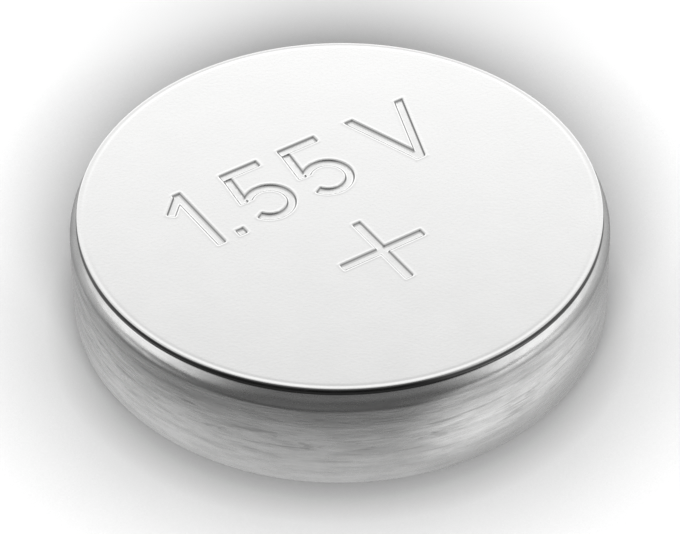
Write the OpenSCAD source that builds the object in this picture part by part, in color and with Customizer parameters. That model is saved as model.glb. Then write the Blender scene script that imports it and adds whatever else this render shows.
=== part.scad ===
// Silver oxide button cell, positive face up, standing on its negative cap.
// The origin is on the cell's axis, at the flat of the cap. Millimetres, +Z up.
// Every piece but the stamped marks is turned about Z, so each one is a half section
// (x is the radius, y is the height) that rotate_extrude carries round.

/* [Cell] */
// Diameter over the can wall
cell_d = 11.6; // [9.6:0.1:14]
// Height from the flat of the cap to the flat face of the can
cell_h = 3.05; // [2.5:0.05:5.4]

/* [Can] */
// Thickness of the can's nickel-plated steel
can_wall = 0.2; // [0.15:0.01:0.25]
// How far the edge of the flat face stands in from the wall
shoulder_in = 0.165; // [0.13:0.005:0.22]
// Radius of the shoulder between the flat face's step and the wall
shoulder_r = 0.5; // [0.4:0.01:0.6]
// How far the coined face stands up past the shoulder's crown
face_rise = 0.015; // [0.005:0.005:0.04]
// Outer radius of the curl at the crimped end
crimp_r = 0.45; // [0.36:0.01:0.55]
// How far the crimped lip reaches in from the curl's centre
crimp_reach = 0.42; // [0.3:0.01:0.55]
// Angle by which the lip is turned in past level, in degrees
crimp_lean = 14; // [5:1:20]

/* [Cap] */
// Thickness of the cap's three-layer sheet
cap_wall = 0.2; // [0.15:0.01:0.25]
// How far the cap stands out past the crimped end of the can
cap_proud = 0.27; // [0.2:0.01:0.35]
// Outer radius of the cap's bare edge
cap_r = 0.36; // [0.28:0.01:0.45]
// Inner radius of the turn from the cap's riser out into the ledge under the crimp
ledge_r = 0.1; // [0.06:0.01:0.15]
// Outer radius of the turn from the ledge into the skirt
skirt_r = 0.26; // [0.21:0.01:0.32]

/* [Gasket] */
// Thickness of the nylon between the can wall and the cap's skirt
gasket_t = 0.36; // [0.28:0.01:0.44]
// Thickness of the nylon foot that the skirt's folded edge stands on
foot_t = 0.28; // [0.2:0.01:0.35]
// Width of the nylon foot, in from the can wall
foot_w = 1.05; // [0.95:0.05:1.3]
// Width of the bare ring of nylon between the crimped lip and the cap
ring_bare = 0.23; // [0.15:0.01:0.35]
// How far that ring lies back from the lip's edge
ring_back = 0.03; // [0.01:0.01:0.08]
// Thickness of the nylon nipped between the lip and the cap's ledge
nip_t = 0.14; // [0.1:0.01:0.2]

/* [Active parts] */
// Thickness of the silver oxide pellet
pellet_t = 0.7; // [0.55:0.05:0.9]
// Thickness of the support ring's steel
ring_t = 0.12; // [0.08:0.01:0.16]
// Width of the support ring's flange, in from the can wall
ring_w = 0.85; // [0.6:0.05:1.1]
// Height of the support ring's leg, up the side of the pellet
ring_leg = 0.38; // [0.3:0.02:0.5]
// Thickness of the barrier film
film_t = 0.05; // [0.03:0.01:0.08]
// Gap between the barrier film's edge and the can wall
film_gap = 0.04; // [0.02:0.01:0.1]
// Thickness of the absorbent pad
pad_t = 0.28; // [0.2:0.01:0.35]

/* [Stamped marks] */
// Depth of the stamping
mark_depth = 0.04; // [0.02:0.01:0.06]
// Width of each stamped stroke
mark_stroke = 0.2; // [0.14:0.01:0.26]
// Turn of the rows of marks about the cell's axis, in degrees
mark_turn = 33; // [0:1:90]
// Length of each arm of the plus sign, end to end
plus_span = 2.05; // [1.4:0.05:2.6]
// Distance of the plus sign from the cell's axis, below the row of figures
plus_below = 1.65; // [1.2:0.05:1.8]
// Height of the figures of the nominal voltage
figure_h = 1.9; // [1.4:0.05:2.2]
// Distance of the figures' foot from the cell's axis
figure_above = 0.4; // [0.2:0.05:0.8]
// Width of a figure 5
five_w = 1.15; // [0.9:0.05:1.3]
// Width of a figure 1, with its flag
one_w = 0.55; // [0.4:0.05:0.7]
// Width of the letter V
vee_w = 1.55; // [1.2:0.05:1.8]
// Gap between neighbouring figures
figure_gap = 0.34; // [0.25:0.01:0.4]
// Gap before the letter V
unit_gap = 0.7; // [0.5:0.05:0.9]

/* [Hidden] */
$fn = 128;
over = 1;

// Worked-out places are kept to whole microns, so that faces that meet share one plane
function micron(v) = round(v * 1000) / 1000;

// Can
wall_ro = cell_d / 2;
wall_ri = wall_ro - can_wall;
half_wall = can_wall / 2;
face_ro = wall_ro - shoulder_in;
floor_z = cell_h - can_wall;
shoulder_x = wall_ro - shoulder_r;
shoulder_z = cell_h - face_rise - shoulder_r;
curl_x = wall_ro - crimp_r;
curl_z = cap_proud + crimp_r;
// the lip's edge is its innermost and lowest corner, and its back is the corner inside the can
lip_x = micron(curl_x - crimp_reach * cos(crimp_lean) - crimp_r * sin(crimp_lean));
lip_z = micron(curl_z + crimp_reach * sin(crimp_lean) - crimp_r * cos(crimp_lean));
lip_back_z = micron(lip_z + can_wall * cos(crimp_lean));
ring_z = lip_z + ring_back;

// Stack, from the can's floor down
pellet_z = floor_z - pellet_t;
film_z = pellet_z - film_t;
foot_z = film_z - foot_t;
foot_ri = wall_ri - foot_w;
film_ro = wall_ri - film_gap;
pad_z = film_z - pad_t;

// Cap
cap_ro = lip_x - ring_bare;
skirt_ro = wall_ri - gasket_t;
ledge_x = cap_ro + ledge_r;
ledge_z = lip_back_z + nip_t;
riser_z = ledge_z - ledge_r;
skirt_x = skirt_ro - skirt_r;
skirt_z = ledge_z + skirt_r;
hem_ri = skirt_ro - 2 * cap_wall;

// Marks
figures_w = one_w + mark_stroke + 2 * five_w + vee_w + 3 * figure_gap + unit_gap;

// Half section helpers

// A slice of pie about [x, z], from one angle to another
module slice(x, z, r, from, to) {
    step = (to - from) / 3;
    reach = 2 * r;
    translate([x, z])
        polygon([[0, 0], for (i = [0:3]) reach * [cos(from + i * step), sin(from + i * step)]]);
}

// A bend in a sheet of thickness t, whose outer radius is r
module bend(x, z, r, t, from, to) {
    intersection() {
        translate([x, z])
            difference() {
                circle(r);
                circle(r - t);
            }
        slice(x, z, r, from, to);
    }
}

// A rectangle from one corner to the other
module block(x0, z0, x1, z1) {
    polygon([[x0, z0], [x1, z0], [x1, z1], [x0, z1]]);
}

// Can: coined face, shoulder, wall, curl and lip
module can_section() {
    block(0, floor_z, face_ro, cell_h);
    bend(shoulder_x, shoulder_z, shoulder_r, can_wall, 0, 90);
    block(wall_ri, curl_z, wall_ro, shoulder_z);
    bend(curl_x, curl_z, crimp_r, can_wall, -90 - crimp_lean, 0);
    translate([curl_x, curl_z])
        rotate(-crimp_lean)
            translate([-crimp_reach, -crimp_r])
                square([crimp_reach, can_wall]);
}

// Everything inside the can, down to the bare ring of nylon. It is drawn to the middle
// of the can's sheet, and the sheet cuts it to size.
module can_inside() {
    difference() {
        union() {
            block(0, ring_z, curl_x, shoulder_z);
            block(0, curl_z, wall_ri + half_wall, shoulder_z);
            block(0, curl_z, shoulder_x, floor_z + half_wall);
            translate([shoulder_x, shoulder_z]) circle(shoulder_r - half_wall);
            translate([curl_x, curl_z]) circle(crimp_r - half_wall);
        }
        can_section();
    }
}

// The cap's outline, filled in to the axis
module cap_filled() {
    difference() {
        union() {
            block(0, 0, cap_ro - cap_r, foot_z);
            translate([cap_ro - cap_r, cap_r]) circle(cap_r);
            block(0, cap_r, ledge_x, foot_z);
            block(0, ledge_z, skirt_x, foot_z);
            translate([skirt_x, skirt_z]) circle(skirt_r);
            block(0, skirt_z, skirt_ro - cap_wall, foot_z);
            block(0, skirt_z, skirt_ro, foot_z - cap_wall);
            translate([skirt_ro - cap_wall, foot_z - cap_wall]) circle(cap_wall);
        }
        translate([ledge_x, riser_z]) circle(ledge_r);
        block(cap_ro, 0, ledge_x, riser_z);
    }
}

// The hollow of the cap, open at the top
module cap_hollow() {
    difference() {
        union() {
            block(0, cap_wall, cap_ro - cap_r, foot_z + over);
            translate([cap_ro - cap_r, cap_r]) circle(cap_r - cap_wall);
            block(0, cap_r, ledge_x, foot_z + over);
        }
        translate([ledge_x, riser_z]) circle(ledge_r + cap_wall);
        block(cap_ro - cap_wall, 0, ledge_x, riser_z);
    }
    block(0, ledge_z + cap_wall, hem_ri, foot_z + over);
}

// The support ring: a flange under the pellet's edge and a leg up its side
module ring_section() {
    block(wall_ri - ring_w, pellet_z, wall_ro, pellet_z + ring_t);
    block(wall_ri - ring_t, pellet_z, wall_ro, pellet_z + ring_leg);
}

// Stamped marks, flat

// A straight stroke between two points
module stroke(from, to) {
    run = to - from;
    translate(from)
        rotate(atan2(run[1], run[0]))
            translate([0, -mark_stroke / 2])
                square([norm(run), mark_stroke]);
}

module plus_mark() {
    square([plus_span, mark_stroke], center = true);
    square([mark_stroke, plus_span], center = true);
}

module one_mark() {
    half = mark_stroke / 2;
    stroke([one_w - half, 0], [one_w - half, figure_h]);
    stroke([0, figure_h - one_w], [one_w - half, figure_h - half]);
}

module point_mark() {
    square(mark_stroke);
}

// The bowl is an arc about a centre low in the figure, open at the left
module five_mark() {
    half = mark_stroke / 2;
    bowl_r = five_w / 2;
    stem_x = mark_stroke;
    bowl_top = 2 * bowl_r * 0.9;
    stroke([stem_x - half, figure_h - half], [five_w - half, figure_h - half]);
    stroke([stem_x, figure_h - mark_stroke], [stem_x - half, bowl_top - mark_stroke]);
    bend(bowl_r, bowl_r, bowl_r, mark_stroke, -150, -40);
    bend(bowl_r, bowl_r, bowl_r, mark_stroke, -40, 60);
    bend(bowl_r, bowl_r, bowl_r, mark_stroke, 60, 138);
}

module vee_mark() {
    slant = mark_stroke / cos(atan2(vee_w / 2, figure_h));
    polygon([[0, figure_h], [slant, figure_h], [vee_w / 2, slant],
             [vee_w - slant, figure_h], [vee_w, figure_h],
             [(vee_w + slant) / 2, 0], [(vee_w - slant) / 2, 0]]);
}

module figures() {
    point_x = one_w + figure_gap;
    first_x = point_x + mark_stroke + figure_gap;
    second_x = first_x + five_w + figure_gap;
    one_mark();
    translate([point_x, 0]) point_mark();
    translate([first_x, 0]) five_mark();
    translate([second_x, 0]) five_mark();
    translate([second_x + five_w + unit_gap, 0]) vee_mark();
}

module marks() {
    rotate(mark_turn) {
        translate([0, -plus_below]) plus_mark();
        translate([-figures_w / 2, figure_above]) figures();
    }
}

// Pieces

module can() {
    color("silver")
        difference() {
            rotate_extrude() can_section();
            translate([0, 0, cell_h - mark_depth])
                linear_extrude(mark_depth + over) marks();
        }
}

module cathode_pellet() {
    color("dimgray")
        rotate_extrude()
            difference() {
                intersection() {
                    can_inside();
                    block(0, pellet_z, wall_ro, cell_h);
                }
                ring_section();
            }
}

module support_ring() {
    color("lightsteelblue")
        rotate_extrude()
            intersection() {
                can_inside();
                ring_section();
            }
}

module barrier_film() {
    color("tan")
        rotate_extrude() block(0, film_z, film_ro, pellet_z);
}

module absorbent_pad() {
    color("white")
        rotate_extrude() block(0, pad_z, foot_ri, film_z);
}

module anode_gel() {
    color("slategray")
        rotate_extrude()
            difference() {
                cap_hollow();
                block(0, pad_z, foot_ri, cell_h);
                block(foot_ri, foot_z, wall_ro, cell_h);
            }
}

module gasket() {
    color("ivory")
        rotate_extrude()
            difference() {
                intersection() {
                    can_inside();
                    block(0, 0, wall_ro, film_z);
                }
                cap_filled();
                block(0, foot_z - cap_wall / 2, foot_ri, cell_h);
            }
}

module anode_cap() {
    color("gainsboro")
        rotate_extrude()
            difference() {
                cap_filled();
                cap_hollow();
            }
}

can();
cathode_pellet();
support_ring();
barrier_film();
absorbent_pad();
anode_gel();
gasket();
anode_cap();
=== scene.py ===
import math

import bpy
import numpy as np
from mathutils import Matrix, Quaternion, Vector


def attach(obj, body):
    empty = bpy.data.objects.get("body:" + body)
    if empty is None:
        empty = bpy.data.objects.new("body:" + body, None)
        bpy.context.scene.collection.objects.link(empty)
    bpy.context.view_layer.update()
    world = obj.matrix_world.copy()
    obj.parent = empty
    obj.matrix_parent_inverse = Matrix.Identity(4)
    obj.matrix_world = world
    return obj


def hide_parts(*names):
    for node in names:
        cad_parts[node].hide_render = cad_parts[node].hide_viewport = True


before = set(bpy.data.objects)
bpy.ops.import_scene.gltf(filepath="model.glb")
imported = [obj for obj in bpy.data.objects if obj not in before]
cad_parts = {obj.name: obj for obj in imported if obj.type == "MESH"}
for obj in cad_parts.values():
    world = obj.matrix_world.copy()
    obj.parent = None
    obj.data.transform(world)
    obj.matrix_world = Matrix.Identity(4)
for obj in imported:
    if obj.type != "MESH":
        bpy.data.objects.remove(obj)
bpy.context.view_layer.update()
print("cell frame loaded:", ", ".join(sorted(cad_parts)))

mm = 0.001      # one millimetre in the scene's metres


# Lines and surfaces are worked out in millimetres until they reach a mesh.

# points on a circle about (x, z), from one angle to another in degrees
def arc(x, z, radius, fromDeg, toDeg, steps):
    angle = np.radians(np.linspace(fromDeg, toDeg, steps + 1))
    return np.stack([x + radius * np.cos(angle), z + radius * np.sin(angle)], 1)


# points on the straight line between two places, both ends kept
def line(start, end, steps=1):
    share = np.linspace(0, 1, steps + 1)[:, None]
    return np.array(start) * (1 - share) + np.array(end) * share


# runs of points joined into one line, without the points that two runs share
def joined(*runs):
    points = np.concatenate([np.atleast_2d(run) for run in runs])
    apart = np.linalg.norm(np.diff(points, axis=0), axis=1) > 1e-6
    return points[np.concatenate([[True], apart])]


# 0 below the first value, 1 above the second, and 3t^2 - 2t^3 between them
def ease(value, low, high):
    t = np.clip((value - low) / (high - low), 0, 1)
    return t * t * (3 - 2 * t)


# rows of equal length become quads between neighbouring rows, closed round the axis:
# the face at row i and step j joins points j and j + 1 of rows i and i + 1
def quadRows(first, rows, across):
    i, j = np.meshgrid(np.arange(rows - 1), np.arange(across), indexing="ij")
    here = first + i * across + j
    beside = first + i * across + (j + 1) % across
    return np.stack([here, here + across, beside + across, beside], -1).reshape(-1, 4)


# a row of points closes on one point by triangles
def poleFan(first, across, pole):
    j = np.arange(across)
    return np.stack([first + j, np.full(across, pole), first + (j + 1) % across], 1)


# an object from points in millimetres, in place of one CAD node: it is smooth across edges
# that turn by less than 50 degrees, and it can carry named values, one for each point
def addPiece(name, node, material, points, quads, triangles, values=None):
    mesh = bpy.data.meshes.new(name)
    corners = np.concatenate([quads.ravel(), triangles.ravel()])
    starts = np.concatenate([
        np.arange(len(quads)) * 4,
        len(quads) * 4 + np.arange(len(triangles)) * 3,
    ])
    mesh.vertices.add(len(points))
    mesh.vertices.foreach_set("co", (points * mm).astype(np.float32).ravel())
    mesh.loops.add(len(corners))
    mesh.loops.foreach_set("vertex_index", corners.astype(np.int32))
    mesh.polygons.add(len(starts))
    mesh.polygons.foreach_set("loop_start", starts.astype(np.int32))
    mesh.update(calc_edges=True)
    for key, value in (values or {}).items():
        attribute = mesh.attributes.new(key, "FLOAT", "POINT")
        attribute.data.foreach_set("value", value.astype(np.float32))
    mesh.polygons.foreach_set("use_smooth", np.ones(len(mesh.polygons), bool))
    mesh.set_sharp_from_angle(angle=math.radians(50))
    piece = bpy.data.objects.new(name, mesh)
    bpy.context.scene.collection.objects.link(piece)
    mesh.materials.append(material)
    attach(piece, "root")
    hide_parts(node)
    print(name, "has", len(quads) * 2 + len(triangles), "triangles")


# a profile (radius, height) carried round the axis: point k of the profile at turn a is
# (r cos a, r sin a, z); an end on the axis is closed with one point, and a profile with
# both ends off the axis is joined up end to end
def turnedSurface(profile, across):
    turn = np.arange(across) * 2 * np.pi / across
    startsOnAxis = profile[0, 0] < 1e-9
    endsOnAxis = profile[-1, 0] < 1e-9
    body = profile[int(startsOnAxis): len(profile) - int(endsOnAxis)]
    points = np.stack([
        body[:, :1] * np.cos(turn), body[:, :1] * np.sin(turn),
        body[:, 1:] * np.ones(across)], -1).reshape(-1, 3)
    quads = quadRows(0, len(body), across)
    triangles = np.zeros((0, 3), int)
    if startsOnAxis:
        points = np.concatenate([points, [[0, 0, profile[0, 1]]]])
        triangles = poleFan(0, across, len(points) - 1)[:, ::-1]
    if endsOnAxis:
        points = np.concatenate([points, [[0, 0, profile[-1, 1]]]])
        last = (len(body) - 1) * across
        triangles = np.concatenate([triangles, poleFan(last, across, len(points) - 1)])
    if not (startsOnAxis or endsOnAxis):
        j = np.arange(across)
        last, after = (len(body) - 1) * across, (j + 1) % across
        quads = np.concatenate([quads, np.stack([last + j, j, after, last + after], 1)])
    return points, quads, triangles


# one socket: + - * / and ** add Math nodes, in either order
class Wire:
    def __init__(self, shader, socket):
        self.shader, self.socket = shader, socket

    def math(self, operation, *others):
        return self.shader.math(operation, self, *others)

    def __add__(self, other):
        return self.math("ADD", other)

    def __sub__(self, other):
        return self.math("SUBTRACT", other)

    def __rsub__(self, other):
        return self.shader.math("SUBTRACT", other, self)

    def __mul__(self, other):
        return self.math("MULTIPLY", other)

    def __truediv__(self, other):
        return self.math("DIVIDE", other)

    def __pow__(self, other):
        return self.math("POWER", other)

    __radd__, __rmul__ = __add__, __mul__


# a node tree under construction
class Shader:
    def __init__(self, tree):
        self.tree = tree
        tree.nodes.clear()

    # any node: its settings come first, then numbers or wires for its sockets
    def node(self, kind, settings=None, inputs=None, output=0):
        made = self.tree.nodes.new(kind)
        for key, value in (settings or {}).items():
            if key == "stops":
                while len(made.color_ramp.elements) < len(value):
                    made.color_ramp.elements.new(1)
                for element, (place, level) in zip(made.color_ramp.elements, value):
                    element.position = place
                    element.color = (level, level, level, 1)
            else:
                setattr(made, key, value)
        for key, value in (inputs or {}).items():
            if isinstance(value, Wire):
                self.tree.links.new(value.socket, made.inputs[key])
            else:
                made.inputs[key].default_value = value
        return Wire(self, made.outputs[output]) if len(made.outputs) else None

    def math(self, operation, *values):
        return self.node("ShaderNodeMath", {"operation": operation}, dict(enumerate(values)))

    # a to b as the factor goes from 0 to 1, for colours
    def blend(self, factor, a, b, mode="MIX"):
        return self.node("ShaderNodeMix", {"data_type": "RGBA", "blend_type": mode},
                         {0: factor, 6: a, 7: b}, output=2)

    # one grey taken as a colour, to multiply into another colour
    def tinted(self, colour, grey):
        return self.blend(1.0, colour, grey, "MULTIPLY")

    # level by level along the value, which runs from 0 to 1
    def ramp(self, value, stops):
        return self.node("ShaderNodeValToRGB", {"stops": stops}, {0: value})

    # eases from 0 to 1 as the value goes from low to high
    def rise(self, value, low, high):
        return self.node("ShaderNodeMapRange", {"interpolation_type": "SMOOTHSTEP"},
                         {"Value": value, "From Min": low, "From Max": high})

    # 1 within half of the centre, easing to 0 over the soft width beyond it
    def band(self, value, centre, half, soft):
        return 1 - self.rise((value - centre).math("ABSOLUTE"), half, half + soft)

    # object coordinates, each axis in its own number of steps a millimetre
    def place(self, stretch=(1, 1, 1)):
        coordinates = self.node("ShaderNodeTexCoord", output="Object")
        return self.node("ShaderNodeMapping", {},
                         {"Vector": coordinates, "Scale": [s / mm for s in stretch]})

    # one object coordinate in millimetres: 0 is x, 1 is y and 2 is z
    def axis(self, index):
        return self.node("ShaderNodeSeparateXYZ", {}, {0: self.place()}, output=index)

    # distance from the cell's axis in millimetres
    def radius(self):
        return (self.axis(0) ** 2 + self.axis(1) ** 2).math("SQRT")

    # noise at a place, or at the object's own with so many steps a millimetre on each axis
    def noise(self, where, detail=2.0, roughness=0.5):
        where = where if isinstance(where, Wire) else self.place(where)
        return self.node("ShaderNodeTexNoise", {},
                         {"Vector": where, "Scale": 1.0, "Detail": detail, "Roughness": roughness})

    # granules: distance to the nearest centre, or the granule's own colour, or its edge
    def cells(self, perMm, feature="F1", output=0):
        return self.node("ShaderNodeTexVoronoi", {"feature": feature},
                         {"Vector": self.place([perMm] * 3), "Scale": 1.0}, output=output)

    # fine rings round the axis, as a lathe or a drawing die leaves them
    def rings(self, perMm, detail=3.0):
        where = self.node("ShaderNodeCombineXYZ", {},
                          {0: self.radius() * perMm, 1: self.axis(2) * perMm, 2: 0.0})
        return self.noise(where, detail, 0.6)

    # a few long thin scratches one way, given in degrees: the level line of a noise drawn
    # out along them, kept only where a broader noise is high
    def scratches(self, turn, perMm, width):
        cosine, sine = math.cos(math.radians(turn)), math.sin(math.radians(turn))
        x, y = self.axis(0), self.axis(1)
        along, across = x * cosine + y * sine, y * cosine - x * sine
        drawnOut = self.node("ShaderNodeCombineXYZ", {},
                             {0: along * 0.11, 1: across * perMm, 2: turn * 1.7})
        broad = self.node("ShaderNodeCombineXYZ", {},
                          {0: along * 0.45, 1: across * 1.3, 2: turn * 2.9})
        kept = self.rise(self.noise(broad, 1.0), 0.55, 0.63)
        return self.band(self.noise(drawnOut, 0.0), 0.5, 0.0, width) * kept


def newMaterial(name):
    material = bpy.data.materials.new(name)
    material.use_nodes = True
    return material, Shader(material.node_tree)


# the principled surface that ends each material, with its relief in millimetres
def finishSurface(shader, colour, roughness, metallic, relief, depth, plain=None):
    normal = shader.node("ShaderNodeBump", {}, {
        "Strength": 1.0, "Distance": depth * mm, "Height": relief})
    inputs = {"Base Color": colour, "Roughness": roughness, "Metallic": metallic, "Normal": normal}
    surface = shader.node("ShaderNodeBsdfPrincipled", {}, {**inputs, **(plain or {})})
    shader.node("ShaderNodeOutputMaterial", {}, {"Surface": surface})


# Nickel plate of the can: a satin coined face, and a wall with the soft clouds and long
# bands that drawing and tumbling leave.
canPlate = {
    "colour": (0.93, 0.93, 0.925, 1),
    "faceRoughness": 0.17, "wallRoughness": 0.27,
    "faceGrain": 0.05,              # share of light and dark in the satin of the face
    "clouds": 0.46, "bands": 0.24,  # the same for the wall's two patterns
    # painted reflection: height and share of a darker band of patches round the wall, and share and
    # height of darker streaks, standing in for dark floor marks seen in the metal
    "reflectionBandHeight": 1.62, "paintedReflection": 0.2, "reflectedStreak": 0.26,
    "reflectedStreakHeight": 1.7,
    "recessShade": 0.17,                 # what is left of the light in the step below the face
    "stepLow": 2.905, "stepHigh": 3.035, "stepRadius": 5.60,
    "grooveShade": 0.6,                  # painted shade: darkness of the line along each stamped edge
    "relief": 0.0028,
}


def makeCanPlate():
    p = canPlate
    material, shader = newMaterial("nickelCan")
    height, radius = shader.axis(2), shader.radius()
    onFace = shader.rise(height, p["stepHigh"] - 0.05, p["stepHigh"])
    onWall = 1 - onFace
    clouds = shader.noise((1.3, 1.3, 7.5), 3.0, 0.6)
    bands = shader.noise((0.33, 0.33, 5.2), 2.0)
    reflectedStreaks = shader.rise(shader.noise((0.75, 0.75, 10), 3.0, 0.55), 0.52, 0.68)
    fine = shader.noise((9, 9, 13), 2.0)
    grain = shader.noise((15, 15, 15), 2.0, 0.6)
    mottle = shader.noise((1.1, 1.1, 1.1), 3.0)
    wallTone = 1 - onWall * (
        (clouds - 0.5) * p["clouds"] + (bands - 0.5) * p["bands"] + (fine - 0.5) * 0.10)
    faceTone = 1 + onFace * ((grain - 0.5) * p["faceGrain"] + (mottle - 0.5) * 0.05)
    # painted reflection: darker patches in a narrow band round the wall and darker streaks in a broader
    # band stand in for dark floor marks that the metal shows
    reflectionBandNoise = shader.rise(shader.noise((1.9, 1.9, 5.5), 3.0, 0.65), 0.55, 0.66)
    paintedReflection = reflectionBandNoise * shader.band(height, p["reflectionBandHeight"], 0.05, 0.2)
    reflectedStreaks = reflectedStreaks * shader.band(height, p["reflectedStreakHeight"], 0.35, 0.5)
    paintedReflection = (paintedReflection * p["paintedReflection"] + reflectedStreaks * p["reflectedStreak"]) * onWall
    # painted shade: the colour darkens in the step below the face and in the crease at its foot
    step = shader.band(height, (p["stepLow"] + p["stepHigh"]) / 2,
                       (p["stepHigh"] - p["stepLow"]) / 2 - 0.03, 0.04)
    crease = shader.band(height, p["stepLow"] + 0.005, 0.006, 0.02)
    recessShade = step.math("MAXIMUM", crease) * shader.band(radius, p["stepRadius"], 0.04, 0.03)
    away = shader.node("ShaderNodeAttribute", {"attribute_name": "markDistance"}, output="Fac")
    # painted shade: a dark line down the sloping wall of each stamped stroke
    grooveShade = shader.band(away, -0.012, 0.006, 0.016) * onFace
    tone = wallTone * faceTone * (1 - paintedReflection)
    tone = tone * (1 - recessShade * (1 - p["recessShade"])) * (1 - grooveShade * p["grooveShade"])
    colour = shader.tinted(p["colour"], tone)
    roughness = onFace * p["faceRoughness"] + onWall * p["wallRoughness"]
    roughness = roughness + (mottle - 0.5) * 0.06 + (clouds - 0.5) * onWall * 0.16 - recessShade * 0.12
    relief = grain * onFace * 0.25 + (clouds * 1.3 + bands * 0.6 + fine * 0.25) * onWall
    finishSurface(shader, colour, roughness, 1.0, relief, p["relief"])
    return material


# Can: coined face with stamped marks, step, shoulder, wall, curl and lip.
can = {
    "radius": 5.8, "height": 3.05, "sheet": 0.2,
    "faceRadius": 5.635, "faceRise": 0.015, "shoulderRadius": 0.5,
    "curlRadius": 0.45, "capProud": 0.27, "lipReach": 0.42, "lipLean": 14,
    "edgeRadius": 0.012,                         # rim of the coined face
    "edgeBand": 0.24,                            # width of the band inside the rim, which holds
    "dipAt": 0.085, "dipDepth": 0.0024, "dipWidth": 0.04,        # a barely sunk ring
    "neckDepth": 0.004, "neckHeight": 2.40, "neckWidth": 0.08,   # faint hollow under the shoulder
    "lipRound": 0.03,                            # rounding of the lip's two corners
    "patch": (3.4, -2.84, 2.5), "pitch": 0.025,  # half width, foot, top and pitch of the fine grid
    "patchRings": 6, "bandRings": 11,            # rows of points between the grid and the rim
}

marks = {
    "turn": 33, "depth": 0.04, "stroke": 0.2, "edge": 0.029,
    "burr": 0.0022, "burrAt": 0.03, "burrWidth": 0.024,
    "plusSpan": 2.05, "plusBelow": 1.65,
    "height": 1.9, "above": 0.4,
    "fiveWidth": 1.15, "oneWidth": 0.55, "veeWidth": 1.55, "gap": 0.34, "unitGap": 0.7,
    "bowlFrom": -150, "bowlTo": 138, "fiveNeck": 1.8,   # the 5's open bowl, and its neck in bowl radii
}


# distance to a square-ended stroke: how far a point is outside its box along and across,
# the two joined by Pythagoras outside and the nearer one inside, where it is negative
def strokeDistance(u, v, start, end):
    along = np.subtract(end, start)
    length = np.hypot(*along)
    du, dv = u - start[0], v - start[1]
    a = np.abs((du * along[0] + dv * along[1]) / length - length / 2) - length / 2
    b = np.abs(dv * along[0] - du * along[1]) / length - marks["stroke"] / 2
    return np.hypot(np.maximum(a, 0), np.maximum(b, 0)) + np.minimum(np.maximum(a, b), 0)


# the same for a stroke bent round a centre, its box measured along and across the arc
def bowlDistance(u, v, centre, outer, fromDeg, toDeg):
    middle = outer - marks["stroke"] / 2
    du, dv = u - centre[0], v - centre[1]
    half = math.radians(toDeg - fromDeg) / 2
    angle = np.arctan2(dv, du) - math.radians(fromDeg + toDeg) / 2
    angle = np.abs((angle + np.pi) % (2 * np.pi) - np.pi)
    a = (angle - half) * middle
    b = np.abs(np.hypot(du, dv) - middle) - marks["stroke"] / 2
    return np.hypot(np.maximum(a, 0), np.maximum(b, 0)) + np.minimum(np.maximum(a, b), 0)


# nearest of the strokes of the plus sign and of the nominal voltage, in the turned frame
def markDistance(u, v):
    m = marks
    half, tall = m["stroke"] / 2, m["height"]
    arm = m["plusSpan"] / 2
    width = (m["oneWidth"] + m["stroke"] + 2 * m["fiveWidth"] + m["veeWidth"]
             + 3 * m["gap"] + m["unitGap"])
    found = [strokeDistance(u, v, (-arm, -m["plusBelow"]), (arm, -m["plusBelow"])),
             strokeDistance(u, v, (0, -m["plusBelow"] - arm), (0, -m["plusBelow"] + arm))]
    x, y = u + width / 2, v - m["above"]
    stem = m["oneWidth"] - half
    found.append(strokeDistance(x, y, (stem, 0), (stem, tall)))
    found.append(strokeDistance(x, y, (0, tall - m["oneWidth"]), (stem, tall - half)))
    x = x - m["oneWidth"] - m["gap"]
    found.append(strokeDistance(x, y, (0, half), (m["stroke"], half)))
    x = x - m["stroke"] - m["gap"]
    bowl = m["fiveWidth"] / 2
    neck = m["fiveNeck"] * bowl - 2 * half
    for _ in range(2):
        found.append(strokeDistance(x, y, (half, tall - half), (m["fiveWidth"] - half, tall - half)))
        found.append(strokeDistance(x, y, (2 * half, tall - 2 * half), (half, neck)))
        found.append(bowlDistance(x, y, (bowl, bowl), bowl, m["bowlFrom"], m["bowlTo"]))
        x = x - m["fiveWidth"] - m["gap"]
    x = x - m["unitGap"] + m["gap"]
    slant = m["stroke"] / math.cos(math.atan2(m["veeWidth"] / 2, tall))
    lean = math.atan2((m["veeWidth"] - slant) / 2, tall)
    for side in (x, m["veeWidth"] - x):
        offset = (side - slant / 2) * math.cos(lean) + (y - tall) * math.sin(lean)
        limb = np.abs(offset) - slant / 2 * math.cos(lean)
        found.append(np.maximum(limb, np.maximum(y - tall, -y)))
    return np.min(found, axis=0)


# height of the face from the distance to the nearest stroke: level, less the stamping, which
# eases to its full depth one edge width in from the stroke's side, plus a low burr outside it,
# a bell curve of the distance
def faceHeight(away):
    m = marks
    pressed = m["depth"] * ease(-away, -0.004, m["edge"])
    burr = m["burr"] * np.exp(-((away - m["burrAt"]) / m["burrWidth"]) ** 2) * (away > -0.01)
    return can["height"] - pressed + burr


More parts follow.
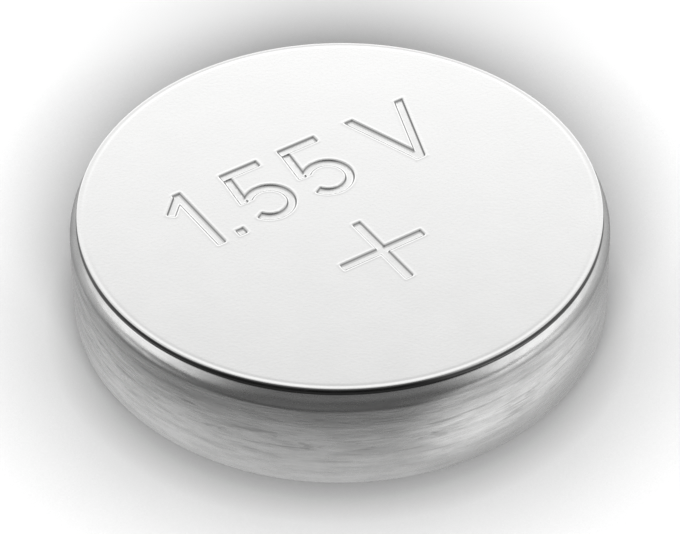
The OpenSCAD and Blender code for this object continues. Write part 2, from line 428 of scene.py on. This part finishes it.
# the can's section, from the rim of the face outwards, down and round to the axis; a bell
# curve of the height sinks the wall a little at the neck
def canProfile():
    c = can
    face, edge, bend = c["faceRadius"], c["edgeRadius"], c["shoulderRadius"]
    shoulderX, shoulderZ = c["radius"] - bend, c["height"] - c["faceRise"] - bend
    stepDeg = math.degrees(math.acos((face - shoulderX) / bend))
    stepZ = shoulderZ + bend * math.sin(math.radians(stepDeg))
    curlX, curlZ = c["radius"] - c["curlRadius"], c["capProud"] + c["curlRadius"]
    lean = math.radians(c["lipLean"])
    inner, floor = c["radius"] - c["sheet"], c["height"] - c["sheet"]
    inward = np.array([-math.cos(lean), math.sin(lean)])
    upward = np.array([math.sin(lean), math.cos(lean)])
    lipOut = np.array([curlX, curlZ]) + c["lipReach"] * inward - c["curlRadius"] * upward
    lipIn = lipOut + c["sheet"] * upward
    nip = c["lipRound"]
    wallZ = np.linspace(shoulderZ, curlZ, 14)
    hollow = c["neckDepth"] * np.exp(-((wallZ - c["neckHeight"]) / c["neckWidth"]) ** 2)
    wall = np.stack([c["radius"] - hollow * ease(shoulderZ - wallZ, 0, 0.1), wallZ], 1)
    return joined(
        arc(face - edge, c["height"] - edge, edge, 90, 0, 3),
        line((face, c["height"] - edge), (face, stepZ), 2),
        arc(shoulderX, shoulderZ, bend, stepDeg, 0, 9),
        wall,
        arc(curlX, curlZ, c["curlRadius"], 0, -90 - c["lipLean"], 9),
        [lipOut - nip * inward, lipOut + nip * 0.3 * (upward - inward), lipOut + nip * upward],
        [lipIn - nip * upward, lipIn - nip * 0.3 * (upward + inward), lipIn - nip * inward],
        arc(curlX, curlZ, c["curlRadius"] - c["sheet"], -90 - c["lipLean"], 0, 5),
        [(inner, shoulderZ)],
        arc(shoulderX, shoulderZ, bend - c["sheet"], 0, 90, 3),
        line((shoulderX, floor), (0, floor), 2),
    )


# the stamped patch is a square grid turned with the marks; every second point of its border
# is carried in a straight line to the rim, evenly spaced there; the ring inside the rim sinks
# by a bell curve of the radius, and from the rim the profile is carried round
def makeCan(material):
    c = can
    halfWidth, foot, top = c["patch"]
    us = np.linspace(-halfWidth, halfWidth, int(round(2 * halfWidth / c["pitch"])) + 1)
    vs = np.linspace(foot, top, int(round((top - foot) / c["pitch"])) + 1)
    u, v = np.meshgrid(us, vs, indexing="ij")
    away = markDistance(u, v)
    turn = math.radians(marks["turn"])
    patch = np.stack([u * math.cos(turn) - v * math.sin(turn),
                      u * math.sin(turn) + v * math.cos(turn), faceHeight(away)], -1)
    nu, nv = len(us), len(vs)
    number = np.arange(nu * nv).reshape(nu, nv)
    patchQuads = np.stack([number[:-1, :-1], number[1:, :-1], number[1:, 1:], number[:-1, 1:]],
                          -1).reshape(-1, 4)
    border = np.concatenate([number[:-1, 0], number[-1, :-1], number[:0:-1, -1], number[0, :0:-1]])
    points = patch.reshape(-1, 3)
    across = len(border) // 2
    edgePoints = points[border[::2]]
    angle = math.atan2(edgePoints[0, 1], edgePoints[0, 0]) + np.arange(across) * 2 * np.pi / across
    circle = np.stack([np.cos(angle), np.sin(angle)], 1)
    rim = c["faceRadius"] - c["edgeRadius"]
    inner = rim - c["edgeBand"]
    shares = np.arange(1, c["patchRings"] + 1) / c["patchRings"]
    rings = [edgePoints[:, :2] * (1 - share) + circle * inner * share for share in shares]
    heights = [c["height"]] * len(shares)
    bandRadii = np.linspace(inner, rim, c["bandRings"] + 2)[1:-1]
    rings += [circle * r for r in bandRadii]
    dip = np.exp(-((bandRadii - rim + c["dipAt"]) / c["dipWidth"]) ** 2)
    heights += list(c["height"] - c["dipDepth"] * dip)
    profile = canProfile()
    rings += [circle * r for r in profile[:-1, 0]]
    heights += list(profile[:-1, 1])
    rows = np.array([np.column_stack([ring, np.full(across, z)]) for ring, z in zip(rings, heights)])
    first = len(points)
    points = np.concatenate([points, rows.reshape(-1, 3), [[0, 0, profile[-1, 1]]]])
    j = np.arange(across)
    here, after = first + j, first + (j + 1) % across
    one, two, three = border[2 * j], border[2 * j + 1], border[(2 * j + 2) % len(border)]
    bridge = np.concatenate([np.stack([one, here, two], 1), np.stack([two, here, after], 1),
                             np.stack([two, after, three], 1)])
    fan = poleFan(first + (len(rows) - 1) * across, across, len(points) - 1)
    quads = np.concatenate([patchQuads, quadRows(first, len(rows), across)])
    distance = np.concatenate([away.ravel(), np.full(len(points) - away.size, 1.0)])
    addPiece("canShell", "can", material, points, quads,
             np.concatenate([bridge, fan]), {"markDistance": distance})


makeCan(makeCanPlate())


# Cap: the bright nickel skin of a pressed three-layer sheet.
cap = {
    "across": 256,
    "sheet": 0.2, "radius": 4.604, "edge": 0.36,
    "ledge": 0.1, "riserTop": 0.619, "ledgeHeight": 0.719,
    "skirtRadius": 5.24, "skirtEdge": 0.26, "hemTop": 1.82,
    "colour": (0.86, 0.855, 0.84, 1), "roughness": 0.19,
    "scuffs": 0.11, "turning": 0.16, "relief": 0.002,
}


# the cap's section, from the axis inside, out and up to the folded edge, down outside and in
def capProfile():
    c = cap
    ledgeX, skirtX = c["radius"] + c["ledge"], c["skirtRadius"] - c["skirtEdge"]
    inside, flatX = c["radius"] - c["sheet"], c["radius"] - c["edge"]
    hemX, hemZ = c["skirtRadius"] - c["sheet"], c["hemTop"] - c["sheet"]
    return joined(
        line((0, c["sheet"]), (flatX, c["sheet"]), 2),
        arc(flatX, c["edge"], c["edge"] - c["sheet"], -90, 0, 6),
        [(inside, c["riserTop"])],
        arc(ledgeX, c["riserTop"], c["ledge"] + c["sheet"], 180, 90, 6),
        [(hemX - c["sheet"], c["ledgeHeight"] + c["sheet"])],
        arc(hemX, hemZ, c["sheet"], 180, 0, 12),
        [(c["skirtRadius"], c["ledgeHeight"] + c["skirtEdge"])],
        arc(skirtX, c["ledgeHeight"] + c["skirtEdge"], c["skirtEdge"], 0, -90, 8),
        [(ledgeX, c["ledgeHeight"])],
        arc(ledgeX, c["riserTop"], c["ledge"], 90, 180, 6),
        arc(flatX, c["edge"], c["edge"], 0, -90, 14),
        line((flatX, 0), (0, 0), 6),
    )


def makeCapPlate():
    c = cap
    material, shader = newMaterial("nickelCap")
    turning = shader.rings(22)
    mottle = shader.noise((0.8, 0.8, 0.8), 3.0)
    grain = shader.noise((14, 14, 14), 2.0)
    scuffs = shader.scratches(24, 3.4, 0.012).math("MAXIMUM", shader.scratches(-57, 2.8, 0.010))
    rubbed = shader.band(shader.radius(), c["radius"] - c["edge"], 0.03, 0.22)
    tone = 1 + (turning - 0.5) * c["turning"] + (mottle - 0.5) * 0.08 + (grain - 0.5) * 0.04
    tone = tone * (1 - scuffs * c["scuffs"])
    colour = shader.tinted(c["colour"], tone)
    roughness = c["roughness"] + (mottle - 0.5) * 0.1 + rubbed * 0.08 + scuffs * 0.15
    relief = turning * 0.5 + grain * 0.3 - scuffs * 1.5
    finishSurface(shader, colour, roughness, 1.0, relief, c["relief"])
    return material


points, quads, triangles = turnedSurface(capProfile(), cap["across"])
addPiece("capShell", "anode_cap", makeCapPlate(), points, quads, triangles)


# Gasket: natural nylon, which swells a little where it is bare.
gasket = {
    "across": 256,
    "outer": 5.6, "top": 2.1, "footInner": 4.55,
    "ringHeight": 0.415, "swell": 0.02, "lipEdge": 4.842, "lipBack": (4.882, 0.579),
    "colour": (0.83, 0.80, 0.71, 1), "pale": (0.90, 0.885, 0.83, 1),
    "roughness": 0.42, "relief": 0.004,
}


# the nylon's section: the foot over the cap's folded edge, down between wall and skirt,
# round the curl and along the lip to the bare ring, an arch as high as the swell,
# then up along the cap
def gasketProfile():
    g, c, k = gasket, can, cap
    curlX, curlZ = c["radius"] - c["curlRadius"], c["capProud"] + c["curlRadius"]
    lean, inside = c["lipLean"], c["curlRadius"] - c["sheet"]
    share = np.linspace(0, 1, 9)
    ring = np.stack([g["lipEdge"] * (1 - share) + k["radius"] * share,
                     g["ringHeight"] + g["swell"] * (1 - 4 * share * (1 - share))], 1)
    hemX, hemZ = k["skirtRadius"] - k["sheet"], k["hemTop"] - k["sheet"]
    skirtX, ledgeX = k["skirtRadius"] - k["skirtEdge"], k["radius"] + k["ledge"]
    return joined(
        line((g["footInner"], g["top"]), (g["outer"], g["top"]), 2),
        arc(curlX, curlZ, inside, 0, -90 - lean, 8),
        [g["lipBack"]],
        ring,
        arc(ledgeX, k["riserTop"], k["ledge"], 180, 90, 6),
        arc(skirtX, k["ledgeHeight"] + k["skirtEdge"], k["skirtEdge"], -90, 0, 8),
        arc(hemX, hemZ, k["sheet"], 0, 90, 6),
        [(g["footInner"], k["hemTop"])],
    )


def makeNylon():
    g = gasket
    material, shader = newMaterial("naturalNylon")
    flow = shader.noise((1.1, 1.1, 3), 4.0, 0.6)
    cloud = shader.noise((0.45, 0.45, 0.45), 2.0)
    grain = shader.noise((24, 24, 24), 2.0)
    drawn = shader.rings(18, 2.0)
    colour = shader.blend(shader.rise(flow * 0.6 + cloud * 0.4, 0.38, 0.62), g["colour"], g["pale"])
    colour = shader.tinted(colour, 1 + (grain - 0.5) * 0.08)
    roughness = g["roughness"] + (flow - 0.5) * 0.2 + (drawn - 0.5) * 0.1
    relief = flow * 1.2 + grain * 0.5 + drawn * 0.6
    finishSurface(shader, colour, roughness, 0.0, relief, g["relief"], {
        "IOR": 1.53, "Subsurface Weight": 0.25, "Subsurface Scale": 0.0004})
    return material


points, quads, triangles = turnedSurface(gasketProfile(), gasket["across"])
addPiece("gasketRing", "gasket", makeNylon(), points, quads, triangles)


# A CAD piece keeps its shape and takes a material.
def dress(node, material):
    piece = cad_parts[node]
    if not piece.material_slots:
        piece.data.materials.append(material)
    for slot in piece.material_slots:
        slot.material = material


# Silver oxide pellet: black powder pressed hard, with graphite glints.
oxide = {
    "colour": (0.035, 0.034, 0.033, 1), "pale": (0.11, 0.108, 0.105, 1),
    "glint": (0.30, 0.30, 0.31, 1), "granule": 16.0, "relief": 0.012,
}


def makeOxide():
    material, shader = newMaterial("silverOxide")
    granules = shader.cells(oxide["granule"])
    lumps = shader.cells(oxide["granule"] / 3.5)
    dust = shader.noise((9, 9, 9), 4.0, 0.7)
    glint = shader.rise(shader.noise((34, 34, 34), 1.0), 0.66, 0.72)
    colour = shader.blend(shader.rise(dust, 0.4, 0.75), oxide["colour"], oxide["pale"])
    colour = shader.blend(glint * 0.7, colour, oxide["glint"])
    roughness = 0.82 + (granules - 0.5) * 0.2 - glint * 0.4
    relief = granules * -1.0 + lumps * 0.7 + dust * 0.4
    finishSurface(shader, colour, roughness, glint * 0.6, relief, oxide["relief"])
    return material


# Support ring: satin nickel-plated steel with fine turning marks.
ringSteel = {
    "colour": (0.74, 0.735, 0.72, 1), "roughness": 0.32, "turning": 30.0, "relief": 0.003,
}


def makeRingSteel():
    material, shader = newMaterial("ringSteel")
    turning = shader.rings(ringSteel["turning"], 4.0)
    stain = shader.rise(shader.noise((0.7, 0.7, 0.7), 4.0, 0.65), 0.5, 0.72)
    tone = 1 + (turning - 0.5) * 0.3 - stain * 0.12
    roughness = ringSteel["roughness"] + (turning - 0.5) * 0.16 + stain * 0.12
    colour = shader.tinted(ringSteel["colour"], tone)
    finishSurface(shader, colour, roughness, 1.0, turning, ringSteel["relief"])
    return material


# Barrier film: thin clear amber sheet with casting lines and a faint haze.
film = {
    "colour": (0.80, 0.62, 0.30, 1), "deep": (0.60, 0.40, 0.13, 1),
    "roughness": 0.14, "relief": 0.006,
}


def makeFilm():
    material, shader = newMaterial("amberFilm")
    casting = shader.noise((0.25, 7, 1), 3.0)
    haze = shader.noise((1.6, 1.6, 1.6), 4.0, 0.6)
    wrinkle = shader.noise((0.6, 1.4, 1), 2.0)
    pale = shader.rise(casting * 0.5 + haze * 0.5, 0.36, 0.66)
    colour = shader.blend(pale, film["deep"], film["colour"])
    roughness = film["roughness"] + shader.rise(haze, 0.5, 0.7) * 0.25
    relief = casting * 0.4 + wrinkle * 1.6
    finishSurface(shader, colour, roughness, 0.0, relief, film["relief"], {
        "IOR": 1.48, "Transmission Weight": 0.35})
    return material


# Absorbent pad: non-woven fibre, soaked, its fibres crossing every way.
felt = {
    "colour": (0.90, 0.90, 0.87, 1), "shade": (0.58, 0.58, 0.55, 1),
    "fibre": 9.0, "relief": 0.03,
}


def makeFelt():
    material, shader = newMaterial("fibrePad")
    first = shader.cells(felt["fibre"], "DISTANCE_TO_EDGE")
    second = shader.cells(felt["fibre"] * 0.57, "DISTANCE_TO_EDGE")
    tuft = shader.noise((2.2, 2.2, 2.2), 4.0, 0.65)
    fibres = (1 - shader.rise(first, 0.0, 0.12)).math("MAXIMUM", 1 - shader.rise(second, 0.0, 0.08))
    colour = shader.blend(fibres * 0.7 + tuft * 0.3, felt["shade"], felt["colour"])
    finishSurface(shader, colour, 0.9 - tuft * 0.15, 0.0, fibres * 0.8 + tuft, felt["relief"], {
        "Sheen Weight": 0.3})
    return material


# Anode gel: zinc granules, some of them bright, in clear wet gel.
zincGel = {
    "colour": (0.24, 0.25, 0.27, 1), "grain": (0.58, 0.59, 0.61, 1),
    "granule": 7.0, "relief": 0.04,
}


def makeZincGel():
    material, shader = newMaterial("zincGel")
    granules = shader.cells(zincGel["granule"])
    shade = shader.cells(zincGel["granule"], output=1)
    small = shader.cells(zincGel["granule"] * 2.6)
    body = 1 - shader.rise(granules, 0.30, 0.62)
    colour = shader.blend(body, zincGel["colour"], zincGel["grain"])
    colour = shader.blend(0.35, colour, shade, "SOFT_LIGHT")
    roughness = 0.5 - body * 0.2 + small * 0.15
    relief = small * -0.4 - granules
    finishSurface(shader, colour, roughness, body * 0.8, relief, zincGel["relief"], {
        "Coat Weight": 0.7, "Coat Roughness": 0.12})
    return material


dress("cathode_pellet", makeOxide())
dress("support_ring", makeRingSteel())
dress("barrier_film", makeFilm())
dress("absorbent_pad", makeFelt())
dress("anode_gel", makeZincGel())
print("the five pieces inside have their materials")


# Camera: a long lens in front of the cell, from well above it.
camera = {
    "aim": (-0.005, 0, 1.325), "elevation": 41.915, "distance": 81.14,
    "lens": 197.9, "sensor": 36,
    "roll": -0.42,                      # it is held a little turned
}


def makeCamera():
    tilt = math.radians(camera["elevation"])
    back = Vector((0, -math.cos(tilt), math.sin(tilt)))
    data = bpy.data.cameras.new("viewCamera")
    data.lens, data.sensor_width = camera["lens"], camera["sensor"]
    data.clip_start, data.clip_end = 0.001, 5
    made = bpy.data.objects.new("viewCamera", data)
    made.location = (Vector(camera["aim"]) + back * camera["distance"]) * mm
    made.rotation_mode = "QUATERNION"
    roll = Quaternion((0, 0, 1), math.radians(camera["roll"]))
    made.rotation_quaternion = (-back).to_track_quat("-Z", "Y") @ roll
    bpy.context.scene.collection.objects.link(made)
    bpy.context.scene.camera = made


# Studio: a white room with a dark front. The metal shows the panels round it, given by
# height over the level (0 is level, 1 is overhead) and by the side they stand on.
studio = {
    "floorSize": 900, "floorColour": 0.97,
    "shadeReach": 5.2, "shadePower": 3.7, "shadeLeast": 0.47,
    "footReach": 0.9, "footLeast": 0.5,     # a second shade, close to the foot
    "behind": [(0.0, 0.50), (0.2, 0.75), (0.36, 0.95), (0.40, 0.87), (0.44, 0.715), (0.48, 0.585),
               (0.52, 0.48), (0.62, 0.40), (1.0, 0.36)],
    "side": [(0.0, 0.70), (0.12, 0.68), (0.3, 0.60), (0.5, 0.50), (1.0, 0.36)],
    "corner": [(0.0, 0.29), (0.15, 0.29), (0.3, 0.37), (0.42, 0.50), (0.6, 0.44), (1.0, 0.36)],
    "before": [(0.0, 0.055), (0.12, 0.065), (0.25, 0.09), (0.42, 0.085), (0.5, 0.06), (0.6, 0.05),
               (0.7, 0.07), (0.86, 0.23), (1.0, 0.36)],
    "panelLevel": 1.4,                  # multiplies all four
    "behindFrom": 42, "behindTo": 20,   # degrees round from the back
    "sideAt": 95, "sideHalf": 8, "sideSoft": 41,
    "beforeFrom": 85, "beforeTo": 128,
    "lean": 0.05,                       # how much brighter the right is than the left
    "dome": [(0.0, 0.15), (0.4, 0.25), (0.62, 0.9), (1.0, 1.0)],
    "domeLevel": 0.28,                  # the even light on everything that isn't metal
    "keyStrength": 8.8, "keyTurn": 180, "keyHeight": 22, "keySoftness": 52,
}

# The floor as the metal shows it, a painted reflection from the cell's foot (5.8 mm out) to 10 mm
# further on: grey near the foot, where it stands for the cell's shadow, then dark in front and light at
# the right.
floorShown = {
    "from": 5.8, "span": 10,
    "front": [(0.0, 0.46), (0.09, 0.46), (0.16, 0.38), (0.23, 0.23), (0.27, 0.14), (0.29, 0.09),
              (0.32, 0.02), (0.37, 0.02), (0.47, 0.09), (0.61, 0.12), (1.0, 0.10)],
    "left": [(0.0, 0.48), (0.086, 0.55), (0.14, 0.45), (0.17, 0.36), (0.20, 0.21), (0.225, 0.14),
             (0.27, 0.09), (0.35, 0.10), (0.46, 0.26), (0.58, 0.45), (0.86, 0.9), (1.0, 1.0)],
    "right": [(0.0, 0.40), (0.07, 0.385), (0.1, 0.68), (0.14, 0.88), (0.19, 0.68), (0.22, 0.48),
              (0.27, 0.24), (0.35, 0.34), (0.46, 0.45), (0.58, 0.6), (0.86, 0.9), (1.0, 1.0)],
    "rear": [(0.0, 0.44), (0.1, 0.45), (0.15, 0.34), (0.2, 0.29), (0.3, 0.30), (0.5, 0.38), (1.0, 0.42)],
    "rearFrom": 62, "rearTo": 92,
    "leftFrom": -12, "leftTo": -42, "rightFrom": 8, "rightTo": 30,    # degrees round from the front
    "leftLag": 40, "rightLag": 26,      # degrees that those lie further round, a span out
}


# 1 for rays that the metal sends straight from the camera, 0 for all others
def shownInMetal(shader):
    glossy = shader.node("ShaderNodeLightPath", output="Is Glossy Ray")
    depth = shader.node("ShaderNodeLightPath", output="Diffuse Depth")
    return glossy * (1 - depth.math("MINIMUM", 1.0))


# pale floor with a painted shade in its colour, darker where the cell shuts out the room: its grey goes
# from the least one to the full one by a power of how open the place is
def makeFloor():
    f = floorShown
    half = studio["floorSize"] / 2
    corners = np.array([[-half, -half, 0], [half, -half, 0], [half, half, 0], [-half, half, 0]]) * mm
    mesh = bpy.data.meshes.new("floor")
    mesh.from_pydata(corners.tolist(), [], [(0, 1, 2, 3)])
    floor = bpy.data.objects.new("floor", mesh)
    bpy.context.scene.collection.objects.link(floor)
    material, shader = newMaterial("paleFloor")
    aside = shader.axis(0).math("ARCTAN2", shader.axis(1) * -1) * (180 / math.pi)
    out = (shader.radius() - f["from"]) / f["span"]
    shown = shader.blend(shader.rise(aside - out * f["rightLag"], f["rightFrom"], f["rightTo"]),
                         shader.ramp(out, f["front"]), shader.ramp(out, f["right"]))
    shown = shader.blend(1 - shader.rise(aside + out * f["leftLag"], f["leftTo"], f["leftFrom"]),
                         shown, shader.ramp(out, f["left"]))
    shown = shader.blend(shader.rise(aside.math("ABSOLUTE"), f["rearFrom"], f["rearTo"]),
                         shown, shader.ramp(out, f["rear"]))
    grey, least = studio["floorColour"], studio["shadeLeast"]
    wide, nearby = (shader.node("ShaderNodeAmbientOcclusion", {"samples": 8},
                                {"Distance": studio[reach] * mm}, output=1)
                    for reach in ("shadeReach", "footReach"))
    shade = least + (1 - least) * wide ** studio["shadePower"]
    shade = shade * (studio["footLeast"] + (1 - studio["footLeast"]) * nearby)
    plain = shader.node("ShaderNodeBsdfDiffuse", {}, {"Color": shade * grey})
    # painted reflection: the floor glows with this map for the rays that the metal sends
    mirrored = shader.node("ShaderNodeEmission", {}, {"Color": shown})
    surface = shader.node("ShaderNodeMixShader", {}, {
        0: shownInMetal(shader), 1: plain, 2: mirrored})
    shader.node("ShaderNodeOutputMaterial", {}, {"Surface": surface})
    mesh.materials.append(material)


# the room: white straight from the camera, panels to the metal, and a soft dome to the rest
def makeSurroundings():
    s = studio
    world = bpy.data.worlds.new("studio")
    bpy.context.scene.world = world
    world.use_nodes = True
    world.cycles.sampling_method = "NONE"   # metal sees another room, so rays alone meet it
    shader = Shader(world.node_tree)
    direction = shader.node("ShaderNodeTexCoord", output="Generated")
    x, y, z = (shader.node("ShaderNodeSeparateXYZ", {}, {0: direction}, output=k) for k in range(3))
    up = z.math("ARCSINE") * (2 / math.pi)
    aside = x.math("ARCTAN2", y) * (180 / math.pi)
    around = aside.math("ABSOLUTE")
    panels = shader.blend(shader.rise(around, s["beforeFrom"], s["beforeTo"]),
                          shader.ramp(up, s["corner"]), shader.ramp(up, s["before"]))
    panels = shader.blend(shader.band(around, s["sideAt"], s["sideHalf"], s["sideSoft"]),
                          panels, shader.ramp(up, s["side"]))
    panels = shader.blend(1 - shader.rise(around, s["behindTo"], s["behindFrom"]),
                          panels, shader.ramp(up, s["behind"]))
    panels = panels * (s["panelLevel"] * (1 + x * s["lean"]))
    dome = shader.ramp(up, s["dome"]) * s["domeLevel"]
    metal = shownInMetal(shader)
    seen = shader.node("ShaderNodeLightPath", output="Is Camera Ray")
    light = seen + (1 - seen) * (metal * panels + (1 - metal) * dome)
    surface = shader.node("ShaderNodeBackground", {}, {"Color": (1, 1, 1, 1), "Strength": light})
    shader.node("ShaderNodeOutputWorld", {}, {"Surface": surface})


# soft lamp that models the nylon and the floor; the metal doesn't show it
def makeKeyLamp():
    turn, tilt = math.radians(studio["keyTurn"]), math.radians(studio["keyHeight"])
    data = bpy.data.lights.new("keyLamp", "SUN")
    data.energy = studio["keyStrength"]
    data.angle = math.radians(studio["keySoftness"])
    lamp = bpy.data.objects.new("keyLamp", data)
    towards = Vector((math.sin(turn) * math.cos(tilt), math.cos(turn) * math.cos(tilt), math.sin(tilt)))
    lamp.rotation_mode = "QUATERNION"
    lamp.rotation_quaternion = towards.to_track_quat("Z", "Y")
    lamp.visible_glossy = False
    bpy.context.scene.collection.objects.link(lamp)


makeCamera()
makeFloor()
makeSurroundings()
makeKeyLamp()
bpy.context.scene.view_settings.view_transform = "Standard"
print("camera, floor and lamp are in")
